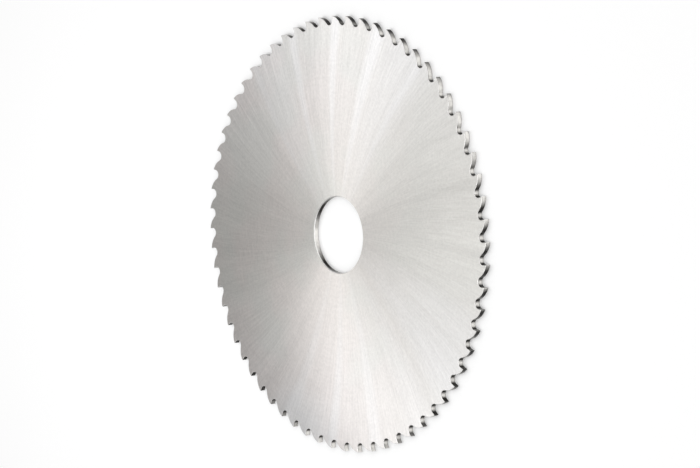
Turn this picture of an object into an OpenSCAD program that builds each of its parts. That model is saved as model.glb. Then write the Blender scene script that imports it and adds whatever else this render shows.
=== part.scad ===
// Metal slitting saw: a thin ground steel disc with curved teeth round its rim and a plain arbor bore.
// One piece, lying flat. All sizes are in millimetres and degrees.
// Origin: centre of the bore on the lower face, +Z along the arbor.
// Seen from above, the saw cuts when it turns counter-clockwise.

/* [Blade] */
// Diameter over the tooth tips
blade_d = 125; // [100:1:160]
// Thickness of the blade, which is the width of the slot it cuts
blade_t = 1.6; // [0.8:0.1:6]

/* [Bore] */
// Diameter of the arbor bore
bore_d = 22; // [13:1:40]
// Chamfer on both edges of the bore, at 45 degrees
bore_chamfer = 0.2; // [0.05:0.05:0.35]

/* [Teeth] */
// Number of teeth round the rim
tooth_count = 64; // [48:4:80]
// Depth of a gullet below the tooth tips
gullet_depth = 2.65; // [2:0.05:3.5]
// Radius of the round floor of a gullet
gullet_r = 1.4; // [0.9:0.05:1.6]
// Rake of the cutting face, positive where the tip leans forward
rake_angle = 8; // [0:1:15]
// Relief of the curved tooth back, just behind the tip
relief_angle = 9; // [5:1:14]
// Width of the narrow land on the tip circle, behind the cutting edge
tip_land = 0.1; // [0.05:0.05:0.3]

/* [Hidden] */
tip_r = blade_d / 2;
bore_r = bore_d / 2;
pitch_angle = 360 / tooth_count;
// Overlap by which a cut reaches past the surface it opens
clear = 1;
// Overlap by which the gullet floor runs into the tooth face and the tooth back
blend = 0.001;
$fn = 180;

function polar(r, a) = [r * cos(a), r * sin(a)];

// One gullet is worked out between tooth 0, whose tip lies on +X, and tooth 1, one pitch further on.
// Tooth 0 shows it the straight cutting face, tooth 1 the curved back.
tip = polar(tip_r, 0);
next_tip = polar(tip_r, pitch_angle);

// Cutting face of tooth 0: down along the face, and out of it into the gullet
face_down = [-cos(rake_angle), -sin(rake_angle)];
face_out = [-sin(rake_angle), cos(rake_angle)];

// Gullet floor: a circle that touches the cutting face and the root circle
floor_offset = gullet_r - blend;
floor_orbit_r = tip_r - gullet_depth + gullet_r;
face_line = tip + floor_offset * face_out;
face_line_dot = face_line * face_down;
face_run = -face_line_dot - sqrt(face_line_dot ^ 2 - face_line * face_line + floor_orbit_r ^ 2);
floor_centre = face_line + face_run * face_down;
face_foot = tip + face_run * face_down;

// Back of tooth 1: an arc that leaves the land at the relief angle and touches the gullet floor
back_angle = pitch_angle - tip_land / tip_r * 180 / PI;
back_start = polar(tip_r, back_angle);
back_in = -polar(1, back_angle - relief_angle);
floor_to_back = back_start - floor_centre;
back_r = (floor_to_back * floor_to_back - floor_offset ^ 2) / (2 * (floor_offset - back_in * floor_to_back));
back_centre = back_start + back_r * back_in;

module at(p) {
    translate([p.x, p.y]) children();
}

// The outline of one gullet, open past the tip circle
module gullet() {
    difference() {
        polygon([
            floor_centre,
            face_foot,
            tip - clear * face_down,
            next_tip * (1 + clear / tip_r),
            back_centre
        ]);
        at(back_centre) circle(r = back_r);
    }
    at(floor_centre) circle(r = gullet_r);
}

// The toothed outline of the whole disc
module rim() {
    difference() {
        circle(r = tip_r);
        for (i = [0 : tooth_count - 1]) {
            rotate(i * pitch_angle) gullet();
        }
    }
}

// The arbor bore with its two chamfers
module bore() {
    chamfer_r = bore_r + bore_chamfer + clear;
    rotate_extrude() polygon([
        [0, -clear],
        [chamfer_r, -clear],
        [bore_r, bore_chamfer],
        [bore_r, blade_t - bore_chamfer],
        [chamfer_r, blade_t + clear],
        [0, blade_t + clear]
    ]);
}

module saw_blade() {
    color("silver") difference() {
        linear_extrude(height = blade_t) rim();
        bore();
    }
}

saw_blade();
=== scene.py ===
"""Looks of a metal slitting saw: a thin ground steel disc with curved teeth, lying on a pale floor."""

import math

import bmesh
import bpy
from mathutils import Matrix, Vector


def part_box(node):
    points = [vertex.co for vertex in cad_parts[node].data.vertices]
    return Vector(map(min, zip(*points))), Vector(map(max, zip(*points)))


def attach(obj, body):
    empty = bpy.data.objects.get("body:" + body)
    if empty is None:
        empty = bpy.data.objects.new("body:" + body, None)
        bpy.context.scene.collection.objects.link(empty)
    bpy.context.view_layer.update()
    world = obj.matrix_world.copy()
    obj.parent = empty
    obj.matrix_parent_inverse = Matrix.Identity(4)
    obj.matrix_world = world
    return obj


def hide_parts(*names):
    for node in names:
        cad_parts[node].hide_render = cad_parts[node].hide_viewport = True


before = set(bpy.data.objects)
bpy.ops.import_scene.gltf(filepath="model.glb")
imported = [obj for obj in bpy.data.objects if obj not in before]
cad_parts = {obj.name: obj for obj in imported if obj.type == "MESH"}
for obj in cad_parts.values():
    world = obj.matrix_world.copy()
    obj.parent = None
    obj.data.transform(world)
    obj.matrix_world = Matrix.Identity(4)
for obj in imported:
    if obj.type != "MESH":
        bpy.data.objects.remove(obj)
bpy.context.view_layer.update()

# Metres in a millimetre: shapes and lamps are in metres, and materials count in millimetres
MM = 0.001
low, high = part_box("saw_blade")

# The blade, with the sizes of the CAD model
TIP_R = high.x
THICK = high.z
BORE_R = 11.0 * MM
BORE_CHAMFER = 0.2 * MM
TEETH = 64
PITCH = 2 * math.pi / TEETH
GULLET_DEPTH = 2.65 * MM
GULLET_R = 1.4 * MM
RAKE = math.radians(8)
RELIEF = math.radians(9)
TIP_LAND = 0.1 * MM

# Steps along the cutting face, the gullet floor and the back of a tooth
CUT_STEPS = 4
FLOOR_STEPS = 18
BACK_STEPS = 12
# Rings in the two faces, from the rim inwards, and the steps round each of them
RING_RADII = (57.5 * MM, 48 * MM, 38 * MM, 28 * MM, 19 * MM)
RING_STEPS = 256

# Stoned edges: their width, the share of it that varies, and the two waves by which it varies along the rim,
# as angles from point to point
EDGE_BREAK = 0.08 * MM
BREAK_VARIES = 0.3
QUICK_WAVE = 0.37
SLOW_WAVE = 0.113
SLOW_WAVE_START = 1
# A round edge is this share of its width away from both of its sides, at its middle
ROUND_MIDDLE = 0.29
# The cosine of half the turn at the sharpest corner that is set in by its full width
SHARPEST = 0.4
# Surfaces that meet at more than this angle show an edge
CREASE = math.radians(20)

# The blade's material slots
FACE_SLOT, TOOTH_SLOT, BORE_SLOT, EDGE_SLOT = range(4)

# Most of a noise lies between these values
NOISE_LOW = 0.3
NOISE_HIGH = 0.7
# A colour mix has inputs of the same name for other kinds of value, so its sockets go by number
MIX_FACTOR, MIX_FIRST, MIX_SECOND, MIX_RESULT = 0, 6, 7, 2
# A quarter turn of the gloss
QUARTER = 0.25

# The grinding lines run out from the bore and bend clockwise on their way, by this angle a millimetre
LINE_BEND = 0.0024
# The gloss is spread across the lines: how far that leans from the way round the arbor, at the axis,
# and the sine by which it leans less with each millimetre further out
GLOSS_LEAN = 0.253
GLOSS_BEND = 0.0066
# Near the bore the lines cross: the widest angle between them there, which fades out towards the rim
LINE_CROSS = 1.3
FACE_ANISOTROPY = 0.934
FACE_ROUGHNESS = (0.41, 0.45)
FACE_MARK_DEPTH = 0.03 * MM
# Depth of a fine line as a share of a wider one
FINE_DEPTH = 0.33

# Rays along the grinding lines, painted brighter or darker as painted highlight streaks: angle and half width
# in degrees, and change in brightness
RAYS = (
    (1, 2.5, 0.09), (14, 2.5, -0.03), (20.5, 2.5, 0.085), (33, 10, 0.04), (40, 2, 0.045),
    (98, 2, -0.03), (146, 3, -0.02), (157.5, 3.5, 0.05), (177.5, 3, 0.07), (196, 3.5, 0.06),
    (216, 6, 0.03), (233, 9, 0.065), (246, 9, 0.045), (269, 2, -0.045), (285, 14, -0.04),
    (287, 2, -0.045), (324.5, 2, 0.045), (331, 14, 0.06), (343, 3.5, 0.09),
)
# They gain strength between two radii in millimetres, from one share of it to another
RAY_GROWTH = (14, 60, 0.3, 1.3)
# The same for a broad painted highlight ray that begins only near the rim
RIM_RAYS = ((163, 16, 0.13),)
RIM_RAY_GROWTH = (47, 58, 0, 1)
# How much of a ray's own tint comes with its brightness
RAY_TINTING = 8.0

# Grey of the face, and its tints across the middle, at both ends along X, along rays and in rosy patches
FACE_GREY = 0.61
MIDDLE_TINT = (1.014, 1.0, 0.958)
END_TINT = (1.012, 1.0, 0.976)
RAY_TINT = (1.01, 1.0, 1.0)
ROSY_TINT = (1.034, 1.0, 1.004)
# Where the ends begin and are reached, in millimetres from the middle
ENDS = (10, 45)
# Rosy patches: the noise at which they begin and are full, its change with each millimetre of X below zero,
# and how they grow along Y, between two places in millimetres and from one share to another
ROSY_NOISE = (0.42, 0.54)
ROSY_DRIFT = -0.002
ROSY_GROWTH = (-40, 10, 0.1, 1)

# How much the brightness of the face varies either way: with broad sectors, with lines and fine lines,
# with its grain, and with marks that run round it
BROAD_VARIES = 0.02
LINES_VARY = 0.03
FINE_VARIES = 0.052
GRAIN_VARIES = 0.056
ROUND_VARIES = 0.025
# Strength of the lines across the middle and at the ends
LINE_STRENGTHS = (0.85, 1.2)

# Walls square to the faces are painted dark as painted shade, standing in for dark reflections, and carry a
# painted highlight where they face one of the four sides: the cosine at which the painted highlight begins,
# how fast it falls off, and how uneven that is
GLINT_EDGE = math.cos(math.radians(45.5))
GLINT_FALL = 2.45
GLINT_UNEVEN = 0.03
# The painted highlight is weaker on the sides along X than on those along Y
GLINT_SHARES = (0.92, 1, 0)
# The painted highlight fades along both edges of a wall: where that begins and ends, in millimetres from mid
# thickness, and the share of the painted highlight that is left there
FADE_START = 0.3 * THICK / MM
FADE_END = 0.47 * THICK / MM
FADE_GLINT = 0.45
# Greys in the grinding marks and between them, and tints, of the walls painted dark as painted shade and of
# the painted highlight
PAINTED_SHADE_GREYS = (0.007, 0.028)
PAINTED_SHADE_TINT = (1.1, 1, 0.9)
GLINT_GREYS = (0.92, 0.99)
GLINT_TINT = (1.0, 0.98, 0.94)
WALL_ANISOTROPY = 0.6
WALL_ROUGHNESS = (0.28, 0.36)
# Grinding marks a millimetre along X, Y and Z, upright on the teeth and round the bore, and their depth
TOOTH_MARKS = (9, 9, 0.5)
TOOTH_MARK_DEPTH = 0.01 * MM
BORE_MARKS = (0.4, 0.4, 14)
BORE_MARK_DEPTH = 0.004 * MM

# Stoned edges: greys, tint, roughness and the depth of their nicks
EDGE_GREYS = (0.75, 0.93)
EDGE_TINT = (1.01, 1, 0.98)
EDGE_ROUGHNESS = (0.25, 0.36)
NICK_DEPTH = 0.004 * MM

# The floor, a little below the blade so that the two don't share a plane
FLOOR_SIZE = 3.0
FLOOR_GAP = 0.02 * MM
FLOOR_GREY = 0.98
FLOOR_ROUGHNESS = 0.9

# The camera, from the -Y side and 39 degrees up, rolled so that the picture's top lies towards +X
CAMERA_PLACE = Vector((-7, -512, 411.2)) * MM
CAMERA_AIM = Vector((-0.1, -5.45, 1.6)) * MM
CAMERA_ROLL = math.radians(94.8)
SENSOR_WIDTH = 36
LENS = 117.8

# Brightness of the even light from all sides
WORLD_STRENGTH = 0.51


def polar(r, a):
    return Vector((r * math.cos(a), r * math.sin(a)))


def arc(centre, r, start, end, steps):
    """Points on an arc, the first included and the last left out."""
    return [centre + polar(r, start + (end - start) * i / steps) for i in range(steps)]


def pitch_outline():
    """One pitch of the rim, counter-clockwise from the tip of tooth 0 to just before the tip of tooth 1."""
    tip = Vector((TIP_R, 0))
    face_down = Vector((-math.cos(RAKE), -math.sin(RAKE)))
    face_out = Vector((-math.sin(RAKE), math.cos(RAKE)))

    # The gullet floor touches the cutting face and the root circle
    orbit_r = TIP_R - GULLET_DEPTH + GULLET_R
    line = tip + GULLET_R * face_out
    along = line.dot(face_down)
    run = -along - math.sqrt(along ** 2 - line.dot(line) + orbit_r ** 2)
    floor_centre = line + run * face_down

    # The back leaves the land at the relief angle and touches the gullet floor
    back_angle = PITCH - TIP_LAND / TIP_R
    back_start = polar(TIP_R, back_angle)
    back_in = -polar(1, back_angle - RELIEF)
    reach = back_start - floor_centre
    back_r = (reach.dot(reach) - GULLET_R ** 2) / (2 * (GULLET_R - back_in.dot(reach)))
    back_centre = back_start + back_r * back_in
    to_back = back_centre - floor_centre
    meet = math.atan2(to_back.y, to_back.x)

    points = [tip + face_down * run * i / CUT_STEPS for i in range(CUT_STEPS)]
    points += arc(floor_centre, GULLET_R, RAKE - math.pi / 2, meet - 2 * math.pi, FLOOR_STEPS)
    points += arc(back_centre, back_r, meet - math.pi, back_angle - RELIEF, BACK_STEPS)
    return points + [back_start]


def rim_outline():
    """The whole toothed rim, counter-clockwise."""
    one = pitch_outline()
    return [Matrix.Rotation(i * PITCH, 2) @ p for i in range(TEETH) for p in one]


def break_width(i):
    """The width of the stoned edge at a point of the rim, a little uneven as it is by hand."""
    wave = math.sin(i * QUICK_WAVE) * math.sin(i * SLOW_WAVE + SLOW_WAVE_START)
    return EDGE_BREAK * (1 + BREAK_VARIES * wave)


def set_in(points, widths):
    """The outline moved in square to itself by a width for each point."""
    moved = []
    for i, p in enumerate(points):
        before = (p - points[i - 1]).normalized()
        after = (points[(i + 1) % len(points)] - p).normalized()
        inward = Vector((-before.y - after.y, before.x + after.x)).normalized()
        square = inward.dot(Vector((-after.y, after.x)))
        moved.append(p + inward * widths[i] / max(square, SHARPEST))
    return moved


def mark_edges(bm):
    """Smooth shading, with sharp edges where the face or the bore ends and at the corners of the rim."""
    for face in bm.faces:
        face.smooth = True
    for edge in bm.edges:
        slots = {face.material_index for face in edge.link_faces}
        ends = slots in ({FACE_SLOT, EDGE_SLOT}, {BORE_SLOT, EDGE_SLOT})
        edge.smooth = not ends and edge.calc_face_angle() < CREASE


def build_blade():
    """The blade as one closed mesh: rim, broken edges, both faces and the chamfered bore."""
    bm = bmesh.new()

    def loop(points, z):
        return [bm.verts.new((p.x, p.y, z)) for p in points]

    def circle(r, z):
        return loop([polar(r, 2 * math.pi * i / RING_STEPS) for i in range(RING_STEPS)], z)

    def skin(loops, slot):
        for a, b in zip(loops, loops[1:]):
            for i in range(len(a)):
                j = (i + 1) % len(a)
                bm.faces.new((a[i], a[j], b[j], b[i])).material_index = slot

    def fill(outer, inner):
        pairs = [(ring[i], ring[(i + 1) % len(ring)]) for ring in (outer, inner) for i in range(len(ring))]
        edges = [bm.edges.get(p) or bm.edges.new(p) for p in pairs]
        made = bmesh.ops.triangle_fill(bm, edges=edges, use_beauty=True)
        for item in made["geom"]:
            if isinstance(item, bmesh.types.BMFace):
                item.material_index = FACE_SLOT

    rim = rim_outline()
    widths = [break_width(i) for i in range(len(rim))]
    inner = set_in(rim, widths)
    half = set_in(rim, [ROUND_MIDDLE * w for w in widths])
    half_depth = ROUND_MIDDLE * EDGE_BREAK
    low_edge = [loop(inner, 0), loop(half, half_depth), loop(rim, EDGE_BREAK)]
    high_edge = [loop(rim, THICK - EDGE_BREAK), loop(half, THICK - half_depth), loop(inner, THICK)]
    skin(low_edge, EDGE_SLOT)
    skin([low_edge[-1], high_edge[0]], TOOTH_SLOT)
    skin(high_edge, EDGE_SLOT)

    radii = (*RING_RADII, BORE_R + BORE_CHAMFER)
    top = [circle(r, THICK) for r in radii]
    bottom = [circle(r, 0) for r in radii]
    fill(high_edge[-1], top[0])
    fill(low_edge[0], bottom[0])
    skin(top, FACE_SLOT)
    skin(bottom, FACE_SLOT)
    bore = [circle(BORE_R, THICK - BORE_CHAMFER), circle(BORE_R, BORE_CHAMFER)]
    skin([top[-1], bore[0]], EDGE_SLOT)
    skin(bore, BORE_SLOT)
    skin([bore[1], bottom[-1]], EDGE_SLOT)

    bmesh.ops.recalc_face_normals(bm, faces=bm.faces)
    mark_edges(bm)
    mesh = bpy.data.meshes.new("blade")
    bm.to_mesh(mesh)
    bm.free()
    piece = bpy.data.objects.new("blade", mesh)
    bpy.context.scene.collection.objects.link(piece)
    return piece


def plug(tree, socket, value):
    """Feeds a socket from another one, or sets it to a plain value."""
    if isinstance(value, bpy.types.NodeSocket):
        tree.links.new(value, socket)
    else:
        socket.default_value = value


def calc(tree, operation, *values):
    node = tree.nodes.new("ShaderNodeMath")
    node.operation = operation
    for socket, value in zip(node.inputs, values):
        plug(tree, socket, value)
    return node.outputs[0]


def vector(tree, operation, *values):
    node = tree.nodes.new("ShaderNodeVectorMath")
    node.operation = operation
    for socket, value in zip(node.inputs, values):
        plug(tree, socket, value)
    return node.outputs["Value" if operation in ("LENGTH", "DOT_PRODUCT") else "Vector"]


def parts(tree, value):
    """The X, Y and Z of a vector."""
    node = tree.nodes.new("ShaderNodeSeparateXYZ")
    plug(tree, node.inputs[0], value)
    return node.outputs


def joined(tree, x, y, z):
    """A vector of the X, Y and Z given."""
    node = tree.nodes.new("ShaderNodeCombineXYZ")
    for socket, value in zip(node.inputs, (x, y, z)):
        plug(tree, socket, value)
    return node.outputs[0]


def turned(tree, place, angle):
    """A vector turned about the arbor axis."""
    node = tree.nodes.new("ShaderNodeVectorRotate")
    node.rotation_type = "Z_AXIS"
    plug(tree, node.inputs["Vector"], place)
    plug(tree, node.inputs["Angle"], angle)
    return node.outputs[0]


def noise(tree, place, scale, detail, roughness=0.5):
    node = tree.nodes.new("ShaderNodeTexNoise")
    plug(tree, node.inputs["Vector"], place)
    plug(tree, node.inputs["Scale"], scale)
    plug(tree, node.inputs["Detail"], detail)
    plug(tree, node.inputs["Roughness"], roughness)
    return node.outputs[0]


def spread(tree, value, start, end, to_start, to_end):
    """A value taken from one range to another, and held at its ends."""
    node = tree.nodes.new("ShaderNodeMapRange")
    for socket, item in zip(node.inputs, (value, start, end, to_start, to_end)):
        plug(tree, socket, item)
    return node.outputs[0]


def contrast(tree, value, to_low, to_high):
    """A noise drawn out so that it runs from one value to another."""
    return spread(tree, value, NOISE_LOW, NOISE_HIGH, to_low, to_high)


def blend(tree, factor, first, second, kind="MIX"):
    node = tree.nodes.new("ShaderNodeMix")
    node.data_type = "RGBA"
    node.blend_type = kind
    plug(tree, node.inputs[MIX_FACTOR], factor)
    plug(tree, node.inputs[MIX_FIRST], first)
    plug(tree, node.inputs[MIX_SECOND], second)
    return node.outputs[MIX_RESULT]


def grey(value, tint):
    return (value * tint[0], value * tint[1], value * tint[2], 1)


def mottled(tree, marks, greys, tint):
    """Steel that runs from one grey to another with its marks."""
    return blend(tree, contrast(tree, marks, 0, 1), grey(greys[0], tint), grey(greys[1], tint))


def bumped(tree, height, distance):
    node = tree.nodes.new("ShaderNodeBump")
    node.inputs["Strength"].default_value = 1.0
    node.inputs["Distance"].default_value = distance
    plug(tree, node.inputs["Height"], height)
    return node.outputs[0]


def metal(name, anisotropy, rotation):
    """A bare metal: material, node tree, shader inputs, place in millimetres, and the way round the arbor."""
    material = bpy.data.materials.new(name)
    material.use_nodes = True
    tree = material.node_tree
    shader = tree.nodes["Principled BSDF"]
    shader.inputs["Metallic"].default_value = 1.0
    shader.inputs["Anisotropic"].default_value = anisotropy
    shader.inputs["Anisotropic Rotation"].default_value = rotation
    metres = tree.nodes.new("ShaderNodeTexCoord").outputs["Object"]
    place = vector(tree, "MULTIPLY", metres, (1 / MM, 1 / MM, 1 / MM))
    tangent = tree.nodes.new("ShaderNodeTangent")
    tangent.direction_type = "RADIAL"
    tangent.axis = "Z"
    return material, tree, shader.inputs, place, tangent.outputs[0]


def gloss_direction(tree, place, r, way_round):
    """The direction across the grinding lines, jittered where the lines cross."""
    bend = calc(tree, "ARCSINE", calc(tree, "MULTIPLY", r, GLOSS_BEND))
    lean = calc(tree, "SUBTRACT", GLOSS_LEAN, bend)
    scatter = tree.nodes.new("ShaderNodeTexWhiteNoise")
    tree.links.new(place, scatter.inputs["Vector"])
    either_way = calc(tree, "SUBTRACT", scatter.outputs["Value"], 0.5)
    cross = spread(tree, r, BORE_R / MM, TIP_R / MM, LINE_CROSS, 0)
    cross = calc(tree, "MULTIPLY", cross, either_way)
    return turned(tree, way_round, calc(tree, "ADD", lean, cross))


def ray_pattern(tree, line, r, rays, growth):
    """The change in brightness along the rays, which follow the grinding lines: painted highlight streaks."""
    change = 0.0
    for angle, width, strength in rays:
        near = vector(tree, "DOT_PRODUCT", line, (*polar(1, math.radians(angle)), 0))
        change = calc(tree, "ADD", change, spread(tree, near, math.cos(math.radians(width)), 1, 0, strength))
    return calc(tree, "MULTIPLY", change, spread(tree, r, *growth))


def ground_face():
    """The two faces: fine grinding lines that run out from the bore in long shallow curves."""
    material, tree, inputs, place, tangent = metal("ground_face", FACE_ANISOTROPY, 0.0)
    flat = vector(tree, "MULTIPLY", place, (1, 1, 0))
    r = vector(tree, "LENGTH", flat)
    tree.links.new(gloss_direction(tree, place, r, tangent), inputs["Tangent"])
    line = vector(tree, "NORMALIZE", turned(tree, flat, calc(tree, "MULTIPLY", r, LINE_BEND)))

    def streaks(count, run, detail, roughness=0.5):
        """Noise drawn out along the grinding lines: more lines with count, shorter ones with run."""
        across = vector(tree, "MULTIPLY", line, (count, count, 0))
        along = joined(tree, 0.0, 0.0, calc(tree, "MULTIPLY", r, run))
        return noise(tree, vector(tree, "ADD", across, along), 1.0, detail, roughness)

    broad = streaks(count=12, run=0.012, detail=1)
    middle = streaks(count=55, run=0.045, detail=2)
    fine = streaks(count=140, run=0.13, detail=2, roughness=0.6)
    rounds = streaks(count=9, run=1.1, detail=1)
    grain = noise(tree, flat, scale=1.2, detail=2, roughness=0.6)
    # Painted highlight streaks along the grinding lines
    rays = calc(
        tree, "ADD",
        ray_pattern(tree, line, r, RAYS, RAY_GROWTH),
        ray_pattern(tree, line, r, RIM_RAYS, RIM_RAY_GROWTH),
    )

    x, y, _ = parts(tree, place)
    ends = spread(tree, calc(tree, "ABSOLUTE", x), *ENDS, 0, 1)
    drift = calc(tree, "MULTIPLY", calc(tree, "MINIMUM", x, 0.0), ROSY_DRIFT)
    rosy = calc(tree, "ADD", noise(tree, flat, scale=0.04, detail=2), drift)
    rosy = spread(tree, rosy, *ROSY_NOISE, 0, 1)
    rosy = calc(tree, "MULTIPLY", rosy, spread(tree, y, *ROSY_GROWTH))
    steel = blend(tree, ends, grey(FACE_GREY, MIDDLE_TINT), grey(FACE_GREY, END_TINT))
    steel = blend(tree, rosy, steel, grey(1, ROSY_TINT), "MULTIPLY")
    steel = blend(tree, calc(tree, "MULTIPLY", rays, RAY_TINTING), steel, grey(FACE_GREY, RAY_TINT))

    lines = calc(
        tree, "ADD",
        contrast(tree, middle, -LINES_VARY, LINES_VARY),
        contrast(tree, fine, -FINE_VARIES, FINE_VARIES),
    )
    lines = calc(tree, "MULTIPLY", lines, spread(tree, ends, 0, 1, *LINE_STRENGTHS))
    marks = calc(tree, "MULTIPLY", contrast(tree, rounds, -ROUND_VARIES, ROUND_VARIES), rosy)
    value = contrast(tree, broad, 1 - BROAD_VARIES, 1 + BROAD_VARIES)
    for change in (lines, contrast(tree, grain, -GRAIN_VARIES, GRAIN_VARIES), rays, marks):
        value = calc(tree, "ADD", value, change)
    colour = blend(tree, 1.0, steel, joined(tree, value, value, value), "MULTIPLY")
    tree.links.new(colour, inputs["Base Color"])

    tree.links.new(contrast(tree, middle, *FACE_ROUGHNESS), inputs["Roughness"])
    height = calc(tree, "ADD", middle, calc(tree, "MULTIPLY", fine, FINE_DEPTH))
    tree.links.new(bumped(tree, height, FACE_MARK_DEPTH), inputs["Normal"])
    return material


def ground_wall(name, mark_scale, mark_depth):
    """The rim or the bore, with its grinding marks: painted dark as painted shade, and painted bright as a
    painted highlight where it faces a side.
    """
    material, tree, inputs, place, tangent = metal(name, WALL_ANISOTROPY, QUARTER)
    tree.links.new(tangent, inputs["Tangent"])
    marks = noise(tree, vector(tree, "MULTIPLY", place, mark_scale), scale=1.0, detail=3)
    patches = noise(tree, place, scale=0.5, detail=2)

    # Painted highlight: brighter where the wall's normal faces along X or Y, fading towards both edges of the
    # wall
    facing = tree.nodes.new("ShaderNodeTexCoord").outputs["Normal"]
    x, y, _ = parts(tree, vector(tree, "ABSOLUTE", vector(tree, "MULTIPLY", facing, GLINT_SHARES)))
    side = calc(tree, "MAXIMUM", x, y)
    side = calc(tree, "ADD", side, contrast(tree, patches, -GLINT_UNEVEN, GLINT_UNEVEN))
    glint = calc(tree, "POWER", spread(tree, side, GLINT_EDGE, 1, 0, 1), GLINT_FALL)
    _, _, z = parts(tree, place)
    from_middle = calc(tree, "ABSOLUTE", calc(tree, "SUBTRACT", z, THICK / MM / 2))
    glint = calc(tree, "MULTIPLY", glint, spread(tree, from_middle, FADE_START, FADE_END, 1, FADE_GLINT))

    # Painted shade in the dark greys, painted highlight in the bright ones
    dark = mottled(tree, marks, PAINTED_SHADE_GREYS, PAINTED_SHADE_TINT)
    bright = mottled(tree, marks, GLINT_GREYS, GLINT_TINT)
    tree.links.new(blend(tree, glint, dark, bright), inputs["Base Color"])
    tree.links.new(contrast(tree, patches, *WALL_ROUGHNESS), inputs["Roughness"])
    tree.links.new(bumped(tree, marks, mark_depth), inputs["Normal"])
    return material


def broken_edge():
    """Edges stoned by hand, and the bore chamfers."""
    material, tree, inputs, place, tangent = metal("broken_edge", 0.0, 0.0)
    tree.links.new(tangent, inputs["Tangent"])
    nicks = noise(tree, place, scale=2.5, detail=3)
    tree.links.new(mottled(tree, nicks, EDGE_GREYS, EDGE_TINT), inputs["Base Color"])
    tree.links.new(contrast(tree, nicks, *EDGE_ROUGHNESS), inputs["Roughness"])
    tree.links.new(bumped(tree, nicks, NICK_DEPTH), inputs["Normal"])
    return material


def make_floor():
    mesh = bpy.data.meshes.new("floor")
    bm = bmesh.new()
    bmesh.ops.create_grid(bm, x_segments=1, y_segments=1, size=FLOOR_SIZE)
    bm.to_mesh(mesh)
    bm.free()
    floor = bpy.data.objects.new("floor", mesh)
    floor.location.z = low.z - FLOOR_GAP
    bpy.context.scene.collection.objects.link(floor)
    material = bpy.data.materials.new("floor")
    material.use_nodes = True
    shader = material.node_tree.nodes["Principled BSDF"]
    shader.inputs["Base Color"].default_value = grey(FLOOR_GREY, (1, 1, 1))
    shader.inputs["Roughness"].default_value = FLOOR_ROUGHNESS
    shader.inputs["Specular IOR Level"].default_value = 0.0
    mesh.materials.append(material)


def make_camera():
    """The photograph's view."""
    data = bpy.data.cameras.new("camera")
    data.sensor_width = SENSOR_WIDTH
    data.lens = LENS
    camera = bpy.data.objects.new("camera", data)
    level = (CAMERA_AIM - CAMERA_PLACE).to_track_quat("-Z", "Y").to_matrix().to_4x4()
    rolled = Matrix.Rotation(-CAMERA_ROLL, 4, "Z")
    camera.matrix_world = Matrix.Translation(CAMERA_PLACE) @ level @ rolled
    bpy.context.scene.collection.objects.link(camera)
    bpy.context.scene.camera = camera


def make_world():
    """Even white light from all sides."""
    world = bpy.data.worlds.new("studio")
    world.use_nodes = True
    background = world.node_tree.nodes["Background"]
    background.inputs["Color"].default_value = (1, 1, 1, 1)
    background.inputs["Strength"].default_value = WORLD_STRENGTH
    bpy.context.scene.world = world


def add_lamp(name, place, aim, width, height, radiance, turn=0.0):
    """A softbox of even brightness, turned about its own axis."""
    data = bpy.data.lights.new(name, "AREA")
    data.shape = "RECTANGLE"
    data.size = width
    data.size_y = height
    data.energy = radiance * math.pi * width * height
    lamp = bpy.data.objects.new(name, data)
    facing = (Vector(aim) - Vector(place)).to_track_quat("-Z", "Y").to_matrix().to_4x4()
    lamp.matrix_world = Matrix.Translation(place) @ facing @ Matrix.Rotation(turn, 4, "Z")
    bpy.context.scene.collection.objects.link(lamp)


# The blade, with its materials in the order of the slots
piece = build_blade()
for material in (
    ground_face(),
    ground_wall("tooth_wall", TOOTH_MARKS, TOOTH_MARK_DEPTH),
    ground_wall("bore_wall", BORE_MARKS, BORE_MARK_DEPTH),
    broken_edge(),
):
    piece.data.materials.append(material)
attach(piece, "root")
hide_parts("saw_blade")

# The studio
make_floor()
make_camera()
make_world()
add_lamp(
    "overhead",
    place=(-0.033, 0.114, 0.487),
    aim=(-0.033, -0.368, 0),
    width=0.295,
    height=0.6,
    radiance=1.95,
    turn=math.radians(-13),
)
add_lamp("near", place=(0, -0.5, 0.66), aim=(0, 0, 0), width=1.56, height=1.06, radiance=0.66)
bpy.context.scene.view_settings.view_transform = "Standard"
